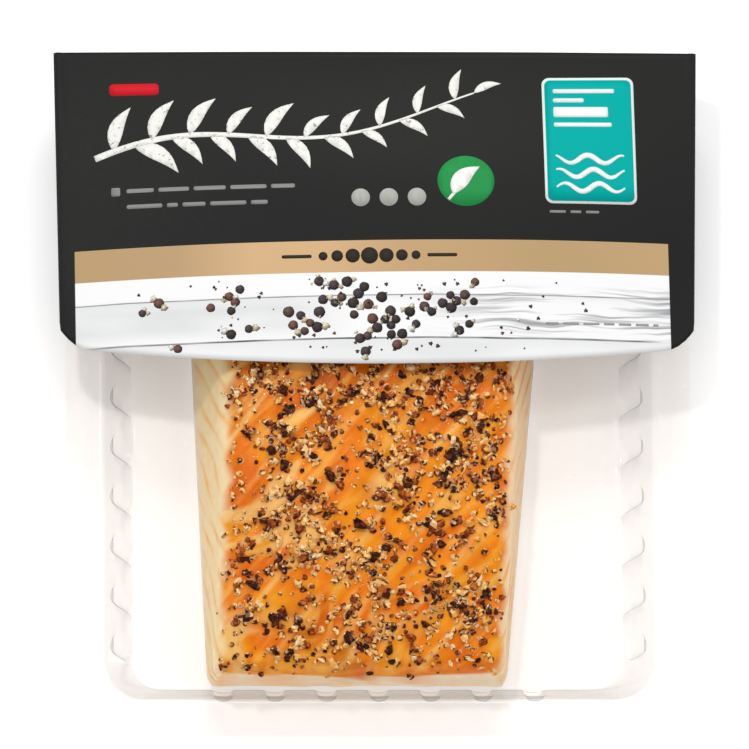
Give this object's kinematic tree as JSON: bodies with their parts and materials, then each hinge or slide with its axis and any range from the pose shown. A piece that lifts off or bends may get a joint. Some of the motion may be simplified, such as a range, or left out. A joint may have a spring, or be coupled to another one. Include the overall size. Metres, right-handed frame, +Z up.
{
  "type": "pack of smoked salmon",
  "caption": "Retail pack of hot-smoked salmon with cracked pepper, in a ribbed clear tray with a printed card sleeve around its upper part.",
  "frame": {"origin": "middle of the pack's footprint, on the surface that it lies on", "axes": "+X to the right across the pack as the shown side is read, +Y towards its top end, +Z up out of the shown side"},
  "size_m": [0.188, 0.2054, 0.0341],
  "materials": {
    "printed_card": "satin print on folding board, charcoal field",
    "clear_sheet": "clear thermoformed plastic sheet and tight skin film",
    "peppered_salmon": "moist orange glaze on pale flesh with cracked black pepper"
  },
  "bodies": {
    "root": {"card_sleeve": "printed_card", "clear_tray": "clear_sheet", "salmon_fillet": "peppered_salmon"}
  },
  "joints": []
}
